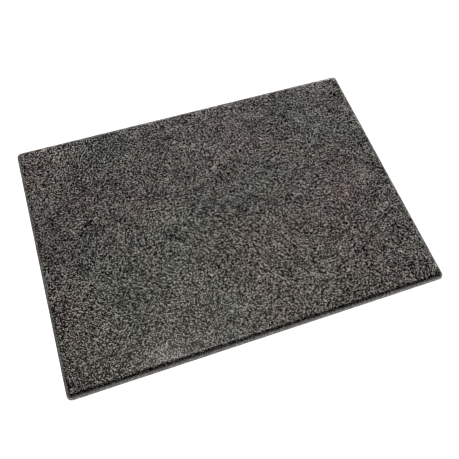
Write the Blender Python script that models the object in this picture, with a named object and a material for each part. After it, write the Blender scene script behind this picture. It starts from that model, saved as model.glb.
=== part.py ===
"""Granite slab for leather tooling: a thin polished stone board that stands on four stick-on rubber feet.

Frame: the origin is on the bench under the middle of the board, +X runs along its long side, +Y towards
the far long side and +Z up. Every edge of the board has a full bullnose. Each foot is a moulded rubber
disc, held to the underside by a round pad of double-sided foam tape.
"""

import math

import bmesh
import bpy
from mathutils import Vector

# Driving dimensions, in metres.
SLAB_LENGTH = 0.400
SLAB_DEPTH = 0.288
SLAB_THICKNESS = 0.012
CORNER_RADIUS = 0.005  # of the outline, seen from above
FACE_CORNER_RADIUS = 0.001  # of the flat faces, where the bullnose has eaten most of the corner

FOOT_HEIGHT = 0.0035
FOOT_TOP_RADIUS = 0.0090
FOOT_SOLE_RADIUS = 0.0080
FOOT_RIM_FILLET = 0.0008
FOOT_TOP_CHAMFER = 0.0003
DIMPLE_RADIUS = 0.0025  # the moulding's gate mark, in the middle of each sole
DIMPLE_DEPTH = 0.0005
FOOT_INSET = 0.030  # from the board's outline to a foot's centre

TAPE_RADIUS = 0.0080
TAPE_THICKNESS = 0.0006
CLEARANCE = 0.0003  # between pieces that touch each other

SHARP_EDGE = math.radians(20)  # an edge that turns by more than this is shaded crisp
SAME_POINT = 1e-6  # points nearer to each other than this are one

# How finely the round stretches are divided.
BULLNOSE_STEPS = 28  # from the top face round to the bottom face
CORNER_STEPS = 10
ROUND_STEPS = 40
FILLET_STEPS = 6
DIMPLE_STEPS = 5

# Heights that follow from the driving dimensions.
TAPE_BASE = FOOT_HEIGHT + CLEARANCE
SLAB_BASE = TAPE_BASE + TAPE_THICKNESS + CLEARANCE

# Each material is a colour, a roughness and a metallic value.
GRANITE = ("polished_granite", (0.085, 0.080, 0.074), 0.18, 0.0)
RUBBER = ("black_rubber", (0.018, 0.018, 0.019), 0.72, 0.0)
FOAM_TAPE = ("foam_tape", (0.62, 0.61, 0.58), 0.85, 0.0)


def clear_scene():
    for old in list(bpy.data.objects):
        bpy.data.objects.remove(old, do_unlink=True)


def make_material(name, colour, roughness, metallic):
    material = bpy.data.materials.new(name)
    material.use_nodes = True
    shader = material.node_tree.nodes["Principled BSDF"]
    shader.inputs["Base Color"].default_value = (*colour, 1.0)
    shader.inputs["Roughness"].default_value = roughness
    shader.inputs["Metallic"].default_value = metallic
    return material


def place(name, mesh, parent, location):
    """Adds an object that shows the mesh, hung from the parent at a location."""
    piece = bpy.data.objects.new(name, mesh)
    piece.parent = parent
    piece.location = location
    bpy.context.scene.collection.objects.link(piece)


def finish_mesh(bm, name, material):
    """Turns a bmesh into a mesh of one material, with outward faces and smooth shading up to sharp edges."""
    bmesh.ops.recalc_face_normals(bm, faces=bm.faces)
    mesh = bpy.data.meshes.new(name)
    bm.to_mesh(mesh)
    bm.free()
    mesh.materials.append(material)
    mesh.shade_smooth()
    mesh.set_sharp_from_angle(angle=SHARP_EDGE)
    return mesh


def rounded_rectangle(length, depth, radius):
    """The corners' arcs of a rectangle centred on the origin, as one loop of points, anticlockwise."""
    points = []
    for quarter, (side_x, side_y) in enumerate(((1, 1), (-1, 1), (-1, -1), (1, -1))):
        centre_x = side_x * (length / 2 - radius)
        centre_y = side_y * (depth / 2 - radius)
        for step in range(CORNER_STEPS + 1):
            turn = math.pi / 2 * (quarter + step / CORNER_STEPS)
            points.append((centre_x + radius * math.cos(turn), centre_y + radius * math.sin(turn)))
    return points


def slab_mesh(material):
    """The board: a stack of rounded outlines that follow the bullnose, closed by two flat faces."""
    nose = SLAB_THICKNESS / 2
    bm = bmesh.new()
    rings = []
    for step in range(BULLNOSE_STEPS + 1):
        turn = math.pi * step / BULLNOSE_STEPS
        height = nose + nose * math.cos(turn)
        inset = nose * (1 - math.sin(turn))
        radius = CORNER_RADIUS + (FACE_CORNER_RADIUS - CORNER_RADIUS) * inset / nose
        outline = rounded_rectangle(SLAB_LENGTH - 2 * inset, SLAB_DEPTH - 2 * inset, radius)
        ring = [bm.verts.new((x, y, height)) for x, y in outline]
        rings.append(ring)
    for upper, lower in zip(rings, rings[1:]):
        for here in range(len(upper)):
            after = (here + 1) % len(upper)
            bm.faces.new((upper[here], lower[here], lower[after], upper[after]))
    bm.faces.new(rings[0])
    bm.faces.new(reversed(rings[-1]))
    return finish_mesh(bm, "granite_slab", material)


def turned_mesh(name, profile, material):
    """A solid turned about Z from a profile of (radius, height) that starts and ends on the axis."""
    bm = bmesh.new()
    points = [bm.verts.new((radius, 0.0, height)) for radius, height in profile]
    edges = [bm.edges.new(pair) for pair in zip(points, points[1:])]
    bmesh.ops.spin(
        bm,
        geom=points + edges,
        axis=Vector((0, 0, 1)),
        cent=Vector((0, 0, 0)),
        angle=2 * math.pi,
        steps=ROUND_STEPS,
        use_merge=True,
    )
    bmesh.ops.remove_doubles(bm, verts=bm.verts, dist=SAME_POINT)
    return finish_mesh(bm, name, material)


def foot_profile():
    """Half the section of a foot, from the middle of its sole round the rim to the middle of its top."""
    profile = []
    for step in range(DIMPLE_STEPS + 1):
        share = step / DIMPLE_STEPS
        profile.append((DIMPLE_RADIUS * share, DIMPLE_DEPTH * (1 - share * share)))
    lean = math.atan2(FOOT_TOP_RADIUS - FOOT_SOLE_RADIUS, FOOT_HEIGHT)
    sweep = math.pi / 2 - lean  # from straight down to square with the leaning side
    for step in range(FILLET_STEPS + 1):
        turn = sweep * step / FILLET_STEPS - math.pi / 2
        reach = FOOT_SOLE_RADIUS - FOOT_RIM_FILLET + FOOT_RIM_FILLET * math.cos(turn)
        profile.append((reach, FOOT_RIM_FILLET * (1 + math.sin(turn))))
    profile.append((FOOT_TOP_RADIUS, FOOT_HEIGHT - FOOT_TOP_CHAMFER))
    profile.append((FOOT_TOP_RADIUS - FOOT_TOP_CHAMFER, FOOT_HEIGHT))
    profile.append((0.0, FOOT_HEIGHT))
    return profile


def tape_profile():
    return [(0.0, 0.0), (TAPE_RADIUS, 0.0), (TAPE_RADIUS, TAPE_THICKNESS), (0.0, TAPE_THICKNESS)]


def foot_places():
    """Each foot's name ending and its centre on the bench."""
    reach_x = SLAB_LENGTH / 2 - FOOT_INSET
    reach_y = SLAB_DEPTH / 2 - FOOT_INSET
    for row, y in (("front", -reach_y), ("rear", reach_y)):
        for side, x in (("left", -reach_x), ("right", reach_x)):
            yield f"{row}_{side}", x, y


def build():
    clear_scene()
    stand_point = bpy.data.objects.new("stand_point", None)
    bpy.context.scene.collection.objects.link(stand_point)

    place("granite_slab", slab_mesh(make_material(*GRANITE)), stand_point, (0, 0, SLAB_BASE))

    foot = turned_mesh("rubber_foot", foot_profile(), make_material(*RUBBER))
    tape = turned_mesh("tape_pad", tape_profile(), make_material(*FOAM_TAPE))
    for corner, x, y in foot_places():
        place(f"foot_{corner}", foot, stand_point, (x, y, 0))
        place(f"tape_pad_{corner}", tape, stand_point, (x, y, TAPE_BASE))


build()
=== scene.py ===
"""Looks of the granite slab: a polished speckled stone board on four stick-on rubber feet.

The board, the feet and their foam pads are rebuilt as fine meshes inside the boxes of the CAD nodes that
they replace. Lengths are in metres, in the CAD model's frame. The materials' patterns are in millimetres,
because each material first turns its coordinates into millimetres.
"""

import math
import random

import bmesh
import bpy
from mathutils import Matrix, Vector, noise


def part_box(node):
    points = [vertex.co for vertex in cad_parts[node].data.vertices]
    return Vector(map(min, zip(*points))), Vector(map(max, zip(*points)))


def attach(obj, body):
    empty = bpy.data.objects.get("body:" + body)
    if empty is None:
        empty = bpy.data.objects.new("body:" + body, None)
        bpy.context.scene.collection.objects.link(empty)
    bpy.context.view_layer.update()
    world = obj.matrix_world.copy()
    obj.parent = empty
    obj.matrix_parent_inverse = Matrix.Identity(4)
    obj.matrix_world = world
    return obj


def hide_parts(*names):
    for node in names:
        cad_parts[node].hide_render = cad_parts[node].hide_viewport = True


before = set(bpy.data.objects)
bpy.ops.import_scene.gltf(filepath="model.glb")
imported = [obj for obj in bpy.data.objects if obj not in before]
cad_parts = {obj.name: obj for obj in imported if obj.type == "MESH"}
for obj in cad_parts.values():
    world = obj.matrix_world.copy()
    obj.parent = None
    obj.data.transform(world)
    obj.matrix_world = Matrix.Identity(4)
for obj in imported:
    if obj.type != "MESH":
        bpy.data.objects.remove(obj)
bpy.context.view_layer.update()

MM = 0.001
SHARP_EDGE = math.radians(32)  # an edge that turns by more than this is shaded crisp
SAME_POINT = 1e-6  # points nearer to each other than this are one

# The camera: where it looks on the board's top face, and how it stands to it.
AIM_X, AIM_Y = 0.00055, -0.0229
VIEW_DISTANCE = 0.58865
VIEW_ELEVATION = math.radians(63.35)
VIEW_AZIMUTH = math.radians(23.52)  # the view runs towards +Y, turned by this towards +X
VIEW_ROLL = math.radians(5.145)
LENS_MM, SENSOR_MM = 42.83, 36.0
NEAREST_SEEN = 0.01
FILM_BLUR = 1.0  # pixels

# The board's shape.
CORNER_RADIUS = 5 * MM  # of the outline, seen from above
FACE_CORNER_RADIUS = 1 * MM  # of the two flat faces
CELL = 4 * MM  # size of a mesh cell on the flat faces
FINE_PER_CELL = 4  # columns of the edge for each cell of the face
CORNER_COLUMNS = 12
NOSE_ROWS = 44
NOSE_SWEEP = math.radians(170)  # the bullnose stops short of the sawn face and leaves a crisp arris there
HAND_GRIND = 0.09 * MM  # how far the hand-ground edge wanders inwards
GRIND_LENGTH = 22 * MM  # how long its waves are along the edge
GRIND_ACROSS = 2  # how many of them cross the bullnose
GRIND_SWING = 0.9  # how fast they swing from one limit to the other
CHIP_COUNT = 14
CHIP_SMALL, CHIP_LARGE = 1.4 * MM, 3.2 * MM  # radius
CHIP_DEPTH = 0.22  # of its radius
CHIP_DROP = 1.2  # how far a chip faces down, for each unit that it faces outwards
CHIP_SEED = 7
CHIP_ROWS = 14  # of the edge's rows, from the arris up, that a chip can reach

# The feet.
FOOT_COLUMNS = 96
SOLE_RADIUS = 8 * MM
RIM_FILLET = 0.8 * MM
TOP_CHAMFER = 0.3 * MM
DIMPLE_RADIUS, DIMPLE_DEPTH = 2.5 * MM, 0.5 * MM
NUB_RADIUS = 0.7 * MM  # of the nub that the moulding's gate left in the dimple
NUB_FLAT = 0.8  # share of its radius that is flat
NUB_TIP, NUB_RIM = 0.66, 0.75  # how high these lie above the sole, as shares of the dimple's depth
GROOVE_RADII = (3.7 * MM, 4.9 * MM, 6.1 * MM)
GROOVE_WIDTH, GROOVE_DEPTH = 0.5 * MM, 0.25 * MM
SIDE_SINK = 0.02 * MM  # how far the foot's side lies inside the straight line from sole to top
# Section of the parting line: the share of the foot's height, and how far it stands out there.
PARTING_LINE = ((0.50, 0.0), (0.53, 0.06 * MM), (0.56, 0.0))
ROUND_STEPS = 8  # of the dimple and of the rim
GROOVE_STEPS = 6

# The foam pads.
PAD_WAIST = 0.12 * MM  # how far the cut side pulls in
PAD_LUMPS = 0.6 * MM  # size of its unevenness
PAD_RING = 0.5  # share of the radius where each film face has a ring of points
PAD_CUT = 0.9  # points farther out than this share of the radius are on the cut side
PAD_STEPS = 12

# The studio's table: how far outside the board's outline, and how brightly the table glows there, for the
# camera, for the polish that mirrors it, and for the light that it throws back at the board.
WHITE_GLOW = 1.05  # a little more than the camera's white
# Under the board's outline the glow drops low: a painted shadow, which the mirrored glow repeats.
TABLE_GLOW = ((-14 * MM, 0.05), (-4 * MM, 0.88), (-1 * MM, 1.01), (6 * MM, WHITE_GLOW))
MIRRORED_GLOW = TABLE_GLOW + ((18 * MM, 1.65), (80 * MM, 2.50))
BOUNCED_GLOW = ((-4 * MM, 0.80), (6 * MM, 1.02), (18 * MM, 1.08), (60 * MM, 1.00), (160 * MM, 0.15))
TABLE_TINT = (1.02, 1.0, 0.95, 1.0)  # of the light that the table sends back to the board
FAR_SHARE = 0.33  # how much of its mirrored glow the table keeps behind the board's near edge
FAR_FADE = 8 * MM  # how far behind that edge the glow has faded to it
SHADOW_CORNER = 14 * MM  # how round the shadow under the board's corners is
TABLE_REACH = 20.0  # half of its side
TABLE_LAYER = 0.05 * MM  # how far the table lies below the feet
MIRRORED_LAYER = 0.08 * MM
BOUNCE_LAYER = 0.10 * MM

# The studio's room.
DOME_RADIUS, WALL_RADIUS = 15.0, 8.0
WALL_SHINE = ((0.0, 1.2), (0.36, 1.0), (0.62, 0.0))  # the wall's glow by height, as a share of its radius
WALL_DIM = 0.45  # how much of its glow the wall keeps on the +X side
WALL_DIM_START, WALL_DIM_END = 3.2, 6.4  # where along X it gets dimmer
ROOM_LIGHT = 0.025
ROOM_TINT = (1.10, 1.0, 0.80, 1.0)
CEILING_TOWARDS = (0.13, 0.19, 1.2)
# The lit ceiling's glow: the distance from its middle on a sphere of radius 1, and what it adds to the room.
CEILING_GLOW = ((0.0, 0.50), (0.17, 0.45), (0.39, 0.0))
RAYS = ("camera", "diffuse", "glossy", "transmission", "volume_scatter", "shadow")


# ------------------------------------------------------------------------------------- shader nodes


def add_node(tree, kind, inputs=None, **settings):
    """Adds a node. Each input is a value or another node's output socket."""
    node = tree.nodes.new(kind)
    for name, value in settings.items():
        setattr(node, name, value)
    for name, value in (inputs or {}).items():
        if isinstance(value, bpy.types.NodeSocket):
            tree.links.new(value, node.inputs[name])
        else:
            node.inputs[name].default_value = value
    return node


def math_node(tree, operation, first, second=0.0, clamp=False):
    node = add_node(tree, "ShaderNodeMath", {0: first, 1: second}, operation=operation, use_clamp=clamp)
    return node.outputs[0]


def vector_node(tree, operation, *vectors):
    inputs = dict(enumerate(vectors))
    return add_node(tree, "ShaderNodeVectorMath", inputs, operation=operation).outputs[0]


def scaled(tree, vector, factor):
    inputs = {0: vector, "Scale": factor}
    return add_node(tree, "ShaderNodeVectorMath", inputs, operation="SCALE").outputs[0]


def vector_parts(tree, vector):
    return add_node(tree, "ShaderNodeSeparateXYZ", {0: vector}).outputs


def mix_value(tree, share, first, second):
    inputs = {"Factor": share, "A": first, "B": second}
    return add_node(tree, "ShaderNodeMix", inputs, data_type="FLOAT").outputs["Result"]


def mix_colour(tree, share, first, second, blend="MIX"):
    """Mixes two colours. The mix node has inputs of each type under the same names, so it takes numbers."""
    inputs = {0: share, 6: first, 7: second}
    return add_node(tree, "ShaderNodeMix", inputs, data_type="RGBA", blend_type=blend).outputs[2]


def multiply_colours(tree, first, second):
    return mix_colour(tree, 1.0, first, second, "MULTIPLY")


def ramp(tree, value, stops, interpolation="LINEAR"):
    """A colour ramp. Each stop is (place, grey) or (place, (red, green, blue))."""
    node = add_node(tree, "ShaderNodeValToRGB", {"Fac": value})
    node.color_ramp.interpolation = interpolation
    elements = node.color_ramp.elements
    while len(elements) < len(stops):
        elements.new(0.5)
    for element, (place, tone) in zip(elements, stops):
        element.position = place
        colour = (tone, tone, tone) if isinstance(tone, (int, float)) else tone
        element.color = (*colour, 1.0)
    return node.outputs["Color"]


def remap(tree, value, low, high, to_low=0.0, to_high=1.0):
    inputs = {"Value": value, "From Min": low, "From Max": high, "To Min": to_low, "To Max": to_high}
    return add_node(tree, "ShaderNodeMapRange", inputs, clamp=True).outputs["Result"]


def noise_texture(tree, where, size, detail=2.0, roughness=0.5):
    """Smooth noise from 0 to 1, with features about this many units of the coordinate across."""
    inputs = {"Vector": where, "Scale": 1.0 / size, "Detail": detail, "Roughness": roughness}
    return add_node(tree, "ShaderNodeTexNoise", inputs).outputs


def cell_texture(tree, where, size):
    """Irregular cells about this many units of the coordinate across."""
    return add_node(tree, "ShaderNodeTexVoronoi", {"Vector": where, "Scale": 1.0 / size}).outputs


def cell_randoms(tree, where, size):
    """Three random numbers from 0 to 1 for the cell that each point lies in."""
    return add_node(tree, "ShaderNodeSeparateColor", {0: cell_texture(tree, where, size)["Color"]}).outputs


def object_place(tree):
    return add_node(tree, "ShaderNodeTexCoord").outputs["Object"]


def new_material(name):
    """A material with a Principled shader. Returns it, its tree, the shader and object coordinates in mm."""
    material = bpy.data.materials.new(name)
    material.use_nodes = True
    tree = material.node_tree
    return material, tree, tree.nodes["Principled BSDF"], scaled(tree, object_place(tree), 1.0 / MM)


def dress(tree, shader, colour, roughness, relief, strength, depth):
    """Links a surface's colour, roughness and relief to its shader. The relief's depth is in metres."""
    tree.links.new(colour, shader.inputs["Base Color"])
    tree.links.new(roughness, shader.inputs["Roughness"])
    bump = add_node(tree, "ShaderNodeBump", {"Height": relief, "Strength": strength, "Distance": depth})
    tree.links.new(bump.outputs[0], shader.inputs["Normal"])


# ------------------------------------------------------------------------------------------- granite

# Nearly all of a noise texture's values lie between these.
NOISE_LOW, NOISE_HIGH = 0.3, 0.7

# Crystals of the stone: how much of it each mineral fills, and its colour.
MINERALS = (
    (0.34, (0.0028, 0.0028, 0.0029)),  # black mica
    (0.15, (0.0160, 0.0150, 0.0140)),  # dark amphibole
    (0.15, (0.0615, 0.0583, 0.0560)),  # smoky quartz
    (0.19, (0.1715, 0.1637, 0.1580)),  # grey feldspar
    (0.17, (0.4390, 0.4205, 0.4085)),  # pale feldspar
)
# The sizes of crystal, and how much of the room that larger ones leave each size takes.
CRYSTALS = ((2.4, 0.04), (1.3, 0.14), (0.78, 1.0))
# The crystals' borders wander by two sets of waves: how long they are, and how far they reach.
BORDER_WAVES = ((2.2, 0.8), (0.6, 0.25))

# Where a mineral is common drifts across the stone: the size of the patches, and how far it drifts.
DRIFT_SIZE, DRIFT_REACH = 15.0, 0.085
# Within a crystal the tone varies with its cleavage.
GRAIN_SIZE = 0.7
GRAIN_TONES = ((0.35, 0.2), (0.65, 1.8))
# Each crystal has a tint of its own, and the whole stone drifts slowly from a green cast to a brown one.
CRYSTAL_TINTS = ((0.0, (0.93, 1.01, 1.0)), (0.5, (1.0, 1.0, 1.0)), (1.0, (1.08, 0.99, 0.95)))
CAST_SIZE = 90.0
CASTS = ((NOISE_LOW, (0.88, 1.045, 0.98)), (NOISE_HIGH, (1.12, 0.955, 0.98)))
# It has soft lighter and darker clouds too, shifted so that they don't follow the casts.
CLOUD_SIZE = 50.0
CLOUD_TONES = ((NOISE_LOW, 0.78), (NOISE_HIGH, 1.24))
CLOUD_SHIFT = (500.0, 0.0, 0.0)
# Small flakes lie scattered in the crystals.
FLAKE_SIZE = 0.95
DARK_FLAKES, PALE_FLAKES = 0.17, 0.10  # share of the stone
DARK_FLAKE = (0.004, 0.004, 0.004, 1.0)
PALE_FLAKE = (0.449, 0.430, 0.418, 1.0)

# The polish, as roughness. Mica takes less of it than quartz and feldspar, and lies a hair lower.
POLISH, MICA_POLISH = 0.10, 0.20
SOFT_KIND, HARD_KIND = 0.1, 0.4  # mica lies below the first of these in the order of minerals
EDGE_HAZE = 0.04  # how much rougher the hand-polished edge is
EDGE_DEPTH = 1.5  # how far below the top face it has its full haze
STONE_IOR = 1.54
CRYSTAL_RELIEF = 0.3  # of the saw marks' relief
STONE_BUMP, STONE_BUMP_DEPTH = 0.5, 0.02 * MM

# The underside is as it left the saw and the hone: paler, matt, with faint arcs in places.
HONED = 0.58
SAWN_START, SAWN_END = 0.01, 0.03  # how far above the underside it turns into the polished edge
SAW_DUST = (0.17, 0.165, 0.155, 1.0)
SAW_DUST_SHARE = 0.45
SAW_CENTRE = (60.0, -310.0, 0.0)
SAW_WAVES = {"Scale": 0.06, "Distortion": 1.5, "Detail": 2.0, "Detail Scale": 0.4}
SAW_PATCH_SIZE = 45.0
SAW_PATCH_LOW, SAW_PATCH_HIGH = 0.45, 0.6


def mineral_stops():
    """The ramp's stops, one where each mineral starts."""
    stops = []
    start = 0.0
    for share, colour in MINERALS:
        stops.append((start, colour))
        start += share
    return stops


def wander(tree, place, size, reach):
    """An offset that swings smoothly about nought, to make straight borders ragged."""
    cloud = noise_texture(tree, place, size)["Color"]
    return scaled(tree, vector_node(tree, "SUBTRACT", cloud, (0.5, 0.5, 0.5)), reach)


def crystal_randoms(tree, ragged):
    """Two random numbers for the crystal that each point lies in: which mineral it is, and its tint."""
    kind = tint = None
    for size, share in reversed(CRYSTALS):
        randoms = cell_randoms(tree, ragged, size)
        if kind is None:
            kind, tint = randoms[0], randoms[2]
            continue
        here = math_node(tree, "LESS_THAN", randoms[1], share)
        kind = mix_value(tree, here, kind, randoms[0])
        tint = mix_value(tree, here, tint, randoms[2])
    return kind, tint


def stone_colour(tree, place, ragged, kind, tint):
    """The polished stone's colour: its minerals, the tones within them, slow casts, clouds and flakes."""
    colour = ramp(tree, kind, mineral_stops(), "CONSTANT")
    grain = noise_texture(tree, place, GRAIN_SIZE, detail=3.0, roughness=0.7)["Fac"]
    colour = multiply_colours(tree, colour, ramp(tree, grain, GRAIN_TONES))
    colour = multiply_colours(tree, colour, ramp(tree, tint, CRYSTAL_TINTS))
    cast = noise_texture(tree, place, CAST_SIZE, detail=4.0, roughness=0.6)["Fac"]
    colour = multiply_colours(tree, colour, ramp(tree, cast, CASTS))
    elsewhere = vector_node(tree, "ADD", place, CLOUD_SHIFT)
    cloud = noise_texture(tree, elsewhere, CLOUD_SIZE, detail=3.0, roughness=0.6)["Fac"]
    colour = multiply_colours(tree, colour, ramp(tree, cloud, CLOUD_TONES))
    flake = cell_randoms(tree, ragged, FLAKE_SIZE)[0]
    colour = mix_colour(tree, math_node(tree, "LESS_THAN", flake, DARK_FLAKES), colour, DARK_FLAKE)
    return mix_colour(tree, math_node(tree, "GREATER_THAN", flake, 1.0 - PALE_FLAKES), colour, PALE_FLAKE)


def saw_arcs(tree, place):
    """Arcs that the saw left, in patches."""
    inputs = {"Vector": vector_node(tree, "SUBTRACT", place, SAW_CENTRE), **SAW_WAVES}
    arcs = add_node(tree, "ShaderNodeTexWave", inputs, wave_type="RINGS", rings_direction="Z").outputs["Fac"]
    patches = noise_texture(tree, place, SAW_PATCH_SIZE)["Fac"]
    return math_node(tree, "MULTIPLY", arcs, remap(tree, patches, SAW_PATCH_LOW, SAW_PATCH_HIGH))


def granite(slab_base, slab_top):
    """Polished granite, which is matt, pale and scored on its sawn underside."""
    material, tree, shader, place = new_material("granite")
    ragged = place
    for size, reach in BORDER_WAVES:
        ragged = vector_node(tree, "ADD", ragged, wander(tree, place, size, reach))
    kind, tint = crystal_randoms(tree, ragged)
    drift = noise_texture(tree, place, DRIFT_SIZE, detail=3.0, roughness=0.6)["Fac"]
    drift = remap(tree, drift, NOISE_LOW, NOISE_HIGH, -DRIFT_REACH, DRIFT_REACH)
    kind = math_node(tree, "ADD", kind, drift, clamp=True)

    base, top = slab_base / MM, slab_top / MM
    height = vector_parts(tree, place)["Z"]
    sawn = remap(tree, height, base + SAWN_START, base + SAWN_END, 1.0, 0.0)
    colour = stone_colour(tree, place, ragged, kind, tint)
    dusty = mix_colour(tree, SAW_DUST_SHARE, colour, SAW_DUST)
    colour = mix_colour(tree, sawn, colour, dusty)

    hardness = remap(tree, kind, SOFT_KIND, HARD_KIND)
    roughness = mix_value(tree, hardness, MICA_POLISH, POLISH)
    haze = remap(tree, height, top - EDGE_DEPTH, top, EDGE_HAZE, 0.0)
    roughness = mix_value(tree, sawn, math_node(tree, "ADD", roughness, haze), HONED)

    arcs = math_node(tree, "MULTIPLY", saw_arcs(tree, place), sawn)
    relief = math_node(tree, "ADD", math_node(tree, "MULTIPLY", hardness, CRYSTAL_RELIEF), arcs)
    shader.inputs["IOR"].default_value = STONE_IOR
    dress(tree, shader, colour, roughness, relief, STONE_BUMP, STONE_BUMP_DEPTH)
    return material


# ------------------------------------------------------------------------------------ rubber and foam

RUBBER_CLOUD_SIZE = 3.0
RUBBER_TONES = ((NOISE_LOW, (0.011, 0.011, 0.012)), (NOISE_HIGH, (0.026, 0.026, 0.027)))
RUBBER_SMOOTH, RUBBER_ROUGH = 0.60, 0.78
DUST = (0.10, 0.095, 0.088, 1.0)
DUST_SHARE = 0.5
DUST_FULL, DUST_NONE = 0.05, 0.6  # how high above the sole it lies thickest, and where it ends
DUST_CLOUD_LOW, DUST_CLOUD_HIGH = 0.4, 0.65
PEBBLE_SIZE = 0.25
PEBBLE_BUMP, PEBBLE_DEPTH = 0.6, 0.02 * MM

BUBBLE_SIZE = 0.22
BUBBLE_RIM = 0.6  # how far from a bubble's middle its rim is, in its own size
# Painted shade: each bubble is painted darker towards its hollow middle than at its rim.
BUBBLE_SHADE_TONES = ((0.0, (0.36, 0.35, 0.32)), (BUBBLE_RIM, (0.68, 0.67, 0.63)))
FOAM_ROUGH, FOAM_SMOOTH = 0.95, 0.75
GRIME = (0.30, 0.28, 0.25, 1.0)
GRIME_SIZE = 2.5
GRIME_LOW, GRIME_HIGH, GRIME_SHARE = 0.45, 0.75, 0.5
BUBBLE_BUMP, BUBBLE_DEPTH = 0.8, 0.06 * MM


def rubber():
    """Black moulded rubber: matt, faintly clouded, with a fine pebbled skin and a dusty bloom on the sole."""
    material, tree, shader, place = new_material("moulded_rubber")
    cloud = noise_texture(tree, place, RUBBER_CLOUD_SIZE, detail=4.0)["Fac"]
    height = vector_parts(tree, place)["Z"]
    low_down = remap(tree, height, DUST_FULL, DUST_NONE, DUST_SHARE, 0.0)
    dust = math_node(tree, "MULTIPLY", low_down, remap(tree, cloud, DUST_CLOUD_LOW, DUST_CLOUD_HIGH))
    colour = mix_colour(tree, dust, ramp(tree, cloud, RUBBER_TONES), DUST)
    roughness = remap(tree, cloud, NOISE_LOW, NOISE_HIGH, RUBBER_SMOOTH, RUBBER_ROUGH)
    pebbles = cell_texture(tree, place, PEBBLE_SIZE)["Distance"]
    dress(tree, shader, colour, roughness, pebbles, PEBBLE_BUMP, PEBBLE_DEPTH)
    return material


def foam():
    """White closed-cell foam, with open bubbles where the die cut it, painted shade in their hollows and a
    little grime in them.
    """
    material, tree, shader, place = new_material("foam_tape")
    bubbles = cell_texture(tree, place, BUBBLE_SIZE)["Distance"]
    grime = noise_texture(tree, place, GRIME_SIZE, detail=3.0)["Fac"]
    grime = remap(tree, grime, GRIME_LOW, GRIME_HIGH, 0.0, GRIME_SHARE)
    # The bubbles' colour is painted shade in their hollows, mixed with grime.
    colour = mix_colour(tree, grime, ramp(tree, bubbles, BUBBLE_SHADE_TONES), GRIME)
    roughness = remap(tree, bubbles, 0.0, BUBBLE_RIM, FOAM_ROUGH, FOAM_SMOOTH)
    dress(tree, shader, colour, roughness, bubbles, BUBBLE_BUMP, BUBBLE_DEPTH)
    return material


# -------------------------------------------------------------------------------------------- meshes


def to_mesh(bm, name):
    mesh = bpy.data.meshes.new(name)
    bm.to_mesh(mesh)
    bm.free()
    return mesh


def to_shaded_mesh(bm, name):
    """Turns a bmesh into a mesh with outward faces, smooth but for its sharp edges."""
    bmesh.ops.recalc_face_normals(bm, faces=bm.faces)
    mesh = to_mesh(bm, name)
    mesh.shade_smooth()
    mesh.set_sharp_from_angle(angle=SHARP_EDGE)
    return mesh


def turned_mesh(name, profile):
    """A solid turned about Z from a profile of (radius, height) that starts and ends on the axis."""
    bm = bmesh.new()
    points = [bm.verts.new((radius, 0.0, height)) for radius, height in profile]
    edges = [bm.edges.new(pair) for pair in zip(points, points[1:])]
    bmesh.ops.spin(
        bm,
        geom=points + edges,
        axis=Vector((0, 0, 1)),
        cent=Vector((0, 0, 0)),
        angle=2 * math.pi,
        steps=FOOT_COLUMNS,
        use_merge=True,
    )
    bmesh.ops.remove_doubles(bm, verts=bm.verts, dist=SAME_POINT)
    return to_shaded_mesh(bm, name)


# ----------------------------------------------------------------------------------------- the board


def outline(half_x, half_y, radius, cells_x, cells_y):
    """Points (x, y) round a rounded rectangle, anticlockwise from the start of the first corner's arc.

    Each straight side is divided evenly, and each arc ends on the sides' last points, so every outline of
    the board has its points at the same places in the list.
    """
    points = []
    for quarter, (side_x, side_y) in enumerate(((1, 1), (-1, 1), (-1, -1), (1, -1))):
        centre = Vector((side_x * (half_x - radius), side_y * (half_y - radius)))
        for step in range(CORNER_COLUMNS + 1):
            turn = math.pi / 2 * (quarter + step / CORNER_COLUMNS)
            points.append(centre + radius * Vector((math.cos(turn), math.sin(turn))))
        along_x = quarter % 2 == 0
        count = (cells_x if along_x else cells_y) * FINE_PER_CELL
        run = 2 * (half_x - radius) if along_x else 2 * (half_y - radius)
        heading = Vector((-side_x, 0)) if along_x else Vector((0, -side_y))
        start = points[-1].copy()
        for step in range(1, count):
            points.append(start + heading * (run * step / count))
    return points


def nose_rings(bm, low, high, cells_x, cells_y):
    """Rings of points that follow the bullnose, from the top face down to the sawn face."""
    half_x, half_y = (high.x - low.x) / 2, (high.y - low.y) / 2
    nose = (high.z - low.z) / 2
    rings = []
    for row in range(NOSE_ROWS + 1):
        turn = NOSE_SWEEP * row / NOSE_ROWS
        inset = nose * (1 - math.sin(turn))
        height = ((low + high) / 2).z + nose * math.cos(turn)
        if row == NOSE_ROWS:
            height = low.z
        radius = CORNER_RADIUS + (FACE_CORNER_RADIUS - CORNER_RADIUS) * inset / nose
        points = outline(half_x - inset, half_y - inset, radius, cells_x, cells_y)
        rings.append([bm.verts.new((x, y, height)) for x, y in points])
    return rings


def add_nose(bm, rings):
    """Adds the bullnose's faces, between each ring and the next."""
    for upper, lower in zip(rings, rings[1:]):
        for here in range(len(upper)):
            after = (here + 1) % len(upper)
            bm.faces.new((upper[here], lower[here], lower[after], upper[after]))


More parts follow.
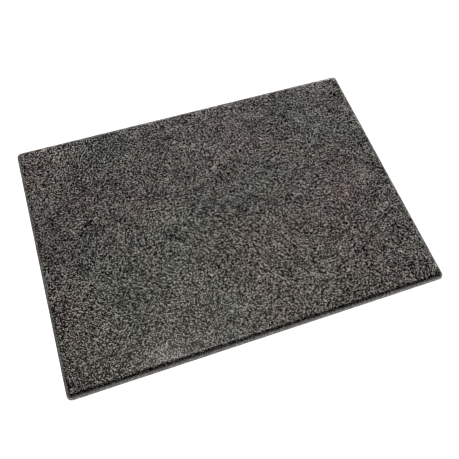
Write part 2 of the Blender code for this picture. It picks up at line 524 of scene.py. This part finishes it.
def add_flat_face(bm, ring, height, half_x, half_y, cells_x, cells_y, upwards):
    """Fills a ring with a grid of square cells, and a strip that joins it to the ring's finer points."""
    grid = {}
    for column in range(cells_x + 1):
        for row in range(cells_y + 1):
            x = -half_x + 2 * half_x * column / cells_x
            y = -half_y + 2 * half_y * row / cells_y
            grid[column, row] = bm.verts.new((x, y, height))

    def add_face(corners):
        bm.faces.new(corners if upwards else corners[::-1])

    def add_fan(points, tip):
        for here, after in zip(points, points[1:]):
            add_face((here, after, tip))

    for column in range(cells_x):
        for row in range(cells_y):
            ends = ((column, row), (column + 1, row), (column + 1, row + 1), (column, row + 1))
            add_face([grid[end] for end in ends])

    # The strip runs round the grid's border in the ring's own order, corner by corner.
    border = (
        [(cells_x - step, cells_y) for step in range(cells_x + 1)],
        [(0, cells_y - step) for step in range(cells_y + 1)],
        [(step, 0) for step in range(cells_x + 1)],
        [(cells_x, step) for step in range(cells_y + 1)],
    )
    at = 0
    middle = FINE_PER_CELL // 2
    for ends in border:
        side = [grid[end] for end in ends]
        add_fan(ring[at:at + CORNER_COLUMNS + 1], side[0])
        at += CORNER_COLUMNS
        for here, after in zip(side, side[1:]):
            outer = [ring[(at + step) % len(ring)] for step in range(FINE_PER_CELL + 1)]
            add_fan(outer[:middle + 1], here)
            add_face((outer[middle], after, here))
            add_fan(outer[middle:], after)
            at += FINE_PER_CELL


def spine_point(point, core, height):
    """The nearest point to this one in the rectangle that the bullnose runs round, at a height."""
    x = max(-core.x, min(core.x, point.x))
    y = max(-core.y, min(core.y, point.y))
    return Vector((x, y, height))


def grind(rings, core, height):
    """Moves the bullnose's points inwards by up to HAND_GRIND, but leaves its two borders in place."""
    for row, ring in enumerate(rings):
        share = math.sin(math.pi * row / NOSE_ROWS)
        across = row / NOSE_ROWS * GRIND_ACROSS
        for vertex in ring:
            inwards = (spine_point(vertex.co, core, height) - vertex.co).normalized()
            waves = Vector((vertex.co.x / GRIND_LENGTH, vertex.co.y / GRIND_LENGTH, across))
            depth = HAND_GRIND * min(1.0, max(0.0, 0.5 + GRIND_SWING * noise.noise(waves)))
            vertex.co += inwards * depth * share


def chip_arris(rings, core):
    """Scoops a few old shell-shaped chips out of the arris. The last ring lies on it."""
    chance = random.Random(CHIP_SEED)
    arris = [vertex.co.copy() for vertex in rings[-1]]
    for _ in range(CHIP_COUNT):
        at = chance.choice(arris)
        radius = chance.uniform(CHIP_SMALL, CHIP_LARGE)
        depth = radius * CHIP_DEPTH
        ball = (radius * radius + depth * depth) / (2 * depth)
        sideways = (at - spine_point(at, core, at.z)).normalized()
        outwards = (sideways + Vector((0, 0, -CHIP_DROP))).normalized()
        centre = at + outwards * (ball - depth)
        for ring in rings:
            for vertex in ring:
                offset = vertex.co - centre
                along = offset.dot(outwards)
                beside = (offset - outwards * along).length
                if offset.length < ball and beside < radius:
                    vertex.co -= outwards * (along + math.sqrt(ball * ball - beside * beside))


def board_mesh(low, high):
    """The stone: two flat faces and a hand-ground bullnose with a sawn arris and a few old chips below."""
    half_x, half_y = (high.x - low.x) / 2, (high.y - low.y) / 2
    nose = (high.z - low.z) / 2
    flat_x, flat_y = half_x - nose - FACE_CORNER_RADIUS, half_y - nose - FACE_CORNER_RADIUS
    cells_x, cells_y = round(2 * flat_x / CELL), round(2 * flat_y / CELL)
    bm = bmesh.new()
    rings = nose_rings(bm, low, high, cells_x, cells_y)
    add_nose(bm, rings)
    add_flat_face(bm, rings[0], high.z, flat_x, flat_y, cells_x, cells_y, True)
    add_flat_face(bm, rings[-1], low.z, flat_x, flat_y, cells_x, cells_y, False)
    core = Vector((half_x - nose, half_y - nose))
    grind(rings, core, ((low + high) / 2).z)
    chip_arris(rings[-CHIP_ROWS:], core)
    return to_shaded_mesh(bm, "granite_board")


# ------------------------------------------------------------------------------------- feet and pads


def groove(radius):
    """A round-bottomed groove in the sole, as points (radius, height) across it."""
    points = []
    for step in range(GROOVE_STEPS + 1):
        turn = math.pi * step / GROOVE_STEPS
        points.append((radius - GROOVE_WIDTH / 2 * math.cos(turn), GROOVE_DEPTH * math.sin(turn)))
    return points


def dimple():
    """The dimple in the middle of the sole, with the gate's nub, as points (radius, height) from the axis."""
    tip = DIMPLE_DEPTH * NUB_TIP
    points = [(0.0, tip), (NUB_RADIUS * NUB_FLAT, tip), (NUB_RADIUS, DIMPLE_DEPTH * NUB_RIM)]
    for step in range(ROUND_STEPS + 1):
        radius = NUB_RADIUS + (DIMPLE_RADIUS - NUB_RADIUS) * step / ROUND_STEPS
        points.append((radius, DIMPLE_DEPTH * (1 - (radius / DIMPLE_RADIUS) ** 2)))
    return points


def foot_profile(sole_radius, top_radius, height):
    """Half the section of a foot, from the middle of its sole round the rim to the middle of its top."""
    profile = dimple()
    for radius in GROOVE_RADII:
        profile += groove(radius)
    lean = math.atan2(top_radius - sole_radius, height)
    for step in range(ROUND_STEPS + 1):
        turn = (math.pi / 2 - lean) * step / ROUND_STEPS - math.pi / 2
        reach = sole_radius - RIM_FILLET + RIM_FILLET * math.cos(turn)
        profile.append((reach, RIM_FILLET * (1 + math.sin(turn))))
    for share, bulge in PARTING_LINE:
        radius = sole_radius + (top_radius - sole_radius) * share + bulge - SIDE_SINK
        profile.append((radius, height * share))
    profile.append((top_radius, height - TOP_CHAMFER))
    profile.append((top_radius - TOP_CHAMFER, height))
    profile.append((0.0, height))
    return profile


def pad_mesh(radius, thickness):
    """A die-cut disc of foam tape: two film faces, and a soft cut side that is a little uneven."""
    profile = [(0.0, 0.0), (radius * PAD_RING, 0.0)]
    for step in range(PAD_STEPS + 1):
        share = step / PAD_STEPS
        profile.append((radius - PAD_WAIST * math.sin(math.pi * share), thickness * share))
    profile += [(radius * PAD_RING, thickness), (0.0, thickness)]
    mesh = turned_mesh("foam_pad", profile)
    for vertex in mesh.vertices:
        spread = math.hypot(vertex.co.x, vertex.co.y)
        if spread > radius * PAD_CUT:
            uneven = PAD_WAIST * (0.5 + 0.5 * noise.noise(vertex.co / PAD_LUMPS))
            vertex.co.x *= 1 - uneven / spread
            vertex.co.y *= 1 - uneven / spread
    return mesh


# -------------------------------------------------------------------------------------------- pieces


def add_piece(name, mesh, material, node, location=(0, 0, 0)):
    """Shows a mesh instead of a CAD node."""
    piece = bpy.data.objects.new(name, mesh)
    piece.location = location
    mesh.materials.append(material)
    bpy.context.scene.collection.objects.link(piece)
    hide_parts(node)
    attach(piece, "root")


def add_board():
    low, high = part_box("granite_slab")
    mesh = board_mesh(low, high)
    add_piece("granite_board", mesh, granite(low.z, high.z), "granite_slab")


def add_foot(corner, rubber_look, foam_look):
    """A foot, and the pad of tape that fills the room between it and the stone."""
    low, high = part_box(f"foot_{corner}")
    centre = (low + high) / 2
    foot = turned_mesh("rubber_foot", foot_profile(SOLE_RADIUS, (high.x - low.x) / 2, high.z - low.z))
    place = (centre.x, centre.y, low.z)
    add_piece(f"rubber_foot_{corner}", foot, rubber_look, f"foot_{corner}", place)

    slab_low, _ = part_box("granite_slab")
    pad_low, pad_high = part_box(f"tape_pad_{corner}")
    pad = pad_mesh((pad_high.x - pad_low.x) / 2, slab_low.z - high.z)
    place = (centre.x, centre.y, high.z)
    add_piece(f"foam_pad_{corner}", pad, foam_look, f"tape_pad_{corner}", place)


def add_pieces():
    add_board()
    rubber_look, foam_look = rubber(), foam()
    for corner in ("front_left", "front_right", "rear_left", "rear_right"):
        add_foot(corner, rubber_look, foam_look)


# -------------------------------------------------------------------------------------------- studio


def add_camera():
    _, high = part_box("granite_slab")
    aim = Vector((AIM_X, AIM_Y, high.z))
    level, rise = math.cos(VIEW_ELEVATION), math.sin(VIEW_ELEVATION)
    back = Vector((-level * math.sin(VIEW_AZIMUTH), -level * math.cos(VIEW_AZIMUTH), rise))
    side = Vector((0, 0, 1)).cross(back).normalized()
    up = back.cross(side)
    right = side * math.cos(VIEW_ROLL) + up * math.sin(VIEW_ROLL)
    up = back.cross(right)
    camera = bpy.data.objects.new("camera", bpy.data.cameras.new("camera"))
    camera.data.lens = LENS_MM
    camera.data.sensor_width = SENSOR_MM
    camera.data.clip_start = NEAREST_SEEN
    turned = Matrix((right, up, back)).transposed().to_4x4()
    camera.matrix_world = Matrix.Translation(aim + back * VIEW_DISTANCE) @ turned
    bpy.context.scene.collection.objects.link(camera)
    bpy.context.scene.camera = camera


def add_area_light(name, location, aim, size_x, size_y, watts):
    light = bpy.data.lights.new(name, "AREA")
    light.shape = "RECTANGLE"
    light.size, light.size_y = size_x, size_y
    light.energy = watts
    lamp = bpy.data.objects.new(name, light)
    lamp.location = location
    lamp.rotation_euler = (Vector(aim) - Vector(location)).to_track_quat("-Z", "Y").to_euler()
    bpy.context.scene.collection.objects.link(lamp)
    return lamp


def add_lights():
    """A strong key light low behind the board, and a weak strip close above it."""
    key = add_area_light("key", (1.6, 2.8, 1.02), (0, 0, 0), size_x=3.2, size_y=0.6, watts=270.0)
    key.visible_glossy = False
    key.data.cycles.use_multiple_importance_sampling = False  # it would leave specks in the polish
    add_area_light("overhead", (0.07, 0.055, 1.22), (0, -0.10, 0), size_x=0.44, size_y=0.07, watts=0.45)


def add_stage(name, mesh, material, seen_by, height=0.0):
    """Adds a piece of the studio, which isn't part of the object. Only some kinds of ray see it."""
    mesh.materials.append(material)
    prop = bpy.data.objects.new(name, mesh)
    prop.location.z = height
    bpy.context.scene.collection.objects.link(prop)
    for ray in RAYS:
        setattr(prop, "visible_" + ray, ray in seen_by)


def glowing_material(name):
    """A material that only glows. Returns it, its tree and its emission node, which isn't linked yet."""
    material = bpy.data.materials.new(name)
    material.use_nodes = True
    tree = material.node_tree
    tree.nodes.remove(tree.nodes["Principled BSDF"])
    return material, tree, add_node(tree, "ShaderNodeEmission")


def show(tree, shader):
    tree.links.new(shader.outputs[0], tree.nodes["Material Output"].inputs["Surface"])


def distance_from_board(tree, place):
    """How far a point of the table lies outside the board's outline, and less than nought under the board.

    The outline's corners count as rounded, because a shadow thins out round a corner.
    """
    _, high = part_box("granite_slab")
    core = (high.x - SHADOW_CORNER, high.y - SHADOW_CORNER, 0.0)
    over = vector_node(tree, "SUBTRACT", vector_node(tree, "ABSOLUTE", place), core)
    outside = vector_node(tree, "MAXIMUM", over, (0.0, 0.0, 0.0))
    outside = add_node(tree, "ShaderNodeVectorMath", {0: outside}, operation="LENGTH").outputs["Value"]
    parts = vector_parts(tree, over)
    inside = math_node(tree, "MINIMUM", math_node(tree, "MAXIMUM", parts["X"], parts["Y"]), 0.0)
    return math_node(tree, "SUBTRACT", math_node(tree, "ADD", outside, inside), SHADOW_CORNER)


def table_glow(tree, levels):
    """How brightly the table glows at a point, from its distance to the board's outline."""
    apart = distance_from_board(tree, object_place(tree))
    strength = levels[0][1]
    for (start, level), (end, next_level) in zip(levels, levels[1:]):
        step = remap(tree, apart, start, end, 0.0, next_level - level)
        strength = math_node(tree, "ADD", step, strength)
    return strength


def dim_behind_near_edge(tree, strength):
    low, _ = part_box("granite_slab")
    along = vector_parts(tree, object_place(tree))["Y"]
    kept = remap(tree, along, low.y, low.y + FAR_FADE, 1.0, FAR_SHARE)
    return math_node(tree, "MULTIPLY", strength, kept)


def add_table(name, levels, layer, seen_by, tint=(1.0, 1.0, 1.0, 1.0), dim=False):
    """A glowing plane that shows from above. From below one sees through it."""
    material, tree, glow = glowing_material(name)
    strength = table_glow(tree, levels)
    if dim:
        strength = dim_behind_near_edge(tree, strength)
    tree.links.new(strength, glow.inputs["Strength"])
    glow.inputs["Color"].default_value = tint
    from_below = add_node(tree, "ShaderNodeNewGeometry").outputs["Backfacing"]
    clear = add_node(tree, "ShaderNodeBsdfTransparent").outputs[0]
    show(tree, add_node(tree, "ShaderNodeMixShader", {0: from_below, 1: glow.outputs[0], 2: clear}))
    bm = bmesh.new()
    bmesh.ops.create_grid(bm, x_segments=1, y_segments=1, size=TABLE_REACH)
    add_stage(name, to_mesh(bm, name), material, seen_by, height=-layer)


def add_floor():
    """A glowing white table, with a painted shadow under the board, in three layers.

    The camera sees the first. The polish mirrors the second, which is brightest away from the board. The
    third lights the board's edge and underside, and is brightest just round the board.
    """
    add_table("floor", TABLE_GLOW, TABLE_LAYER, ("camera", "transmission", "shadow"))
    add_table("mirrored_floor", MIRRORED_GLOW, MIRRORED_LAYER, ("glossy",), TABLE_TINT, dim=True)
    add_table("bounce", BOUNCED_GLOW, BOUNCE_LAYER, ("diffuse",), TABLE_TINT)


def ball_mesh(name, radius):
    bm = bmesh.new()
    bmesh.ops.create_uvsphere(bm, u_segments=48, v_segments=24, radius=radius)
    return to_mesh(bm, name)


def add_backdrop():
    """A white dome that only the camera sees."""
    material, tree, glow = glowing_material("white_backdrop")
    glow.inputs["Strength"].default_value = WHITE_GLOW
    show(tree, glow)
    add_stage("backdrop", ball_mesh("backdrop", DOME_RADIUS), material, ("camera",))


def add_wall():
    """A clear wall with a glow on it that only the polish mirrors, dimmer on the +X side."""
    material, tree, glow = glowing_material("mirrored_wall")
    place = vector_parts(tree, object_place(tree))
    height = math_node(tree, "DIVIDE", place["Z"], WALL_RADIUS)
    tree.links.new(ramp(tree, height, WALL_SHINE, "EASE"), glow.inputs["Color"])
    strength = remap(tree, place["X"], WALL_DIM_START, WALL_DIM_END, 1.0, WALL_DIM)
    tree.links.new(strength, glow.inputs["Strength"])
    clear = add_node(tree, "ShaderNodeBsdfTransparent").outputs[0]
    show(tree, add_node(tree, "ShaderNodeAddShader", {0: glow.outputs[0], 1: clear}))
    add_stage("mirrored_wall", ball_mesh("mirrored_wall", WALL_RADIUS), material, ("glossy",))


def add_world():
    """A dim room with a soft glow where its lit ceiling would be."""
    world = bpy.data.worlds.new("studio")
    world.use_nodes = True
    tree = world.node_tree
    direction = add_node(tree, "ShaderNodeTexCoord").outputs["Generated"]
    towards = Vector(CEILING_TOWARDS).normalized()
    apart = add_node(tree, "ShaderNodeVectorMath", {0: direction, 1: towards}, operation="DISTANCE")
    stops = [(place, ROOM_LIGHT + glow) for place, glow in CEILING_GLOW]
    light = ramp(tree, apart.outputs["Value"], stops, "EASE")
    light = multiply_colours(tree, light, ROOM_TINT)
    tree.links.new(light, tree.nodes["Background"].inputs["Color"])
    bpy.context.scene.world = world


def add_studio():
    add_camera()
    add_floor()
    add_backdrop()
    add_wall()
    add_world()
    add_lights()
    scene = bpy.context.scene
    scene.view_settings.view_transform = "Standard"
    scene.view_settings.look = "None"
    scene.cycles.filter_width = FILM_BLUR


add_pieces()
add_studio()
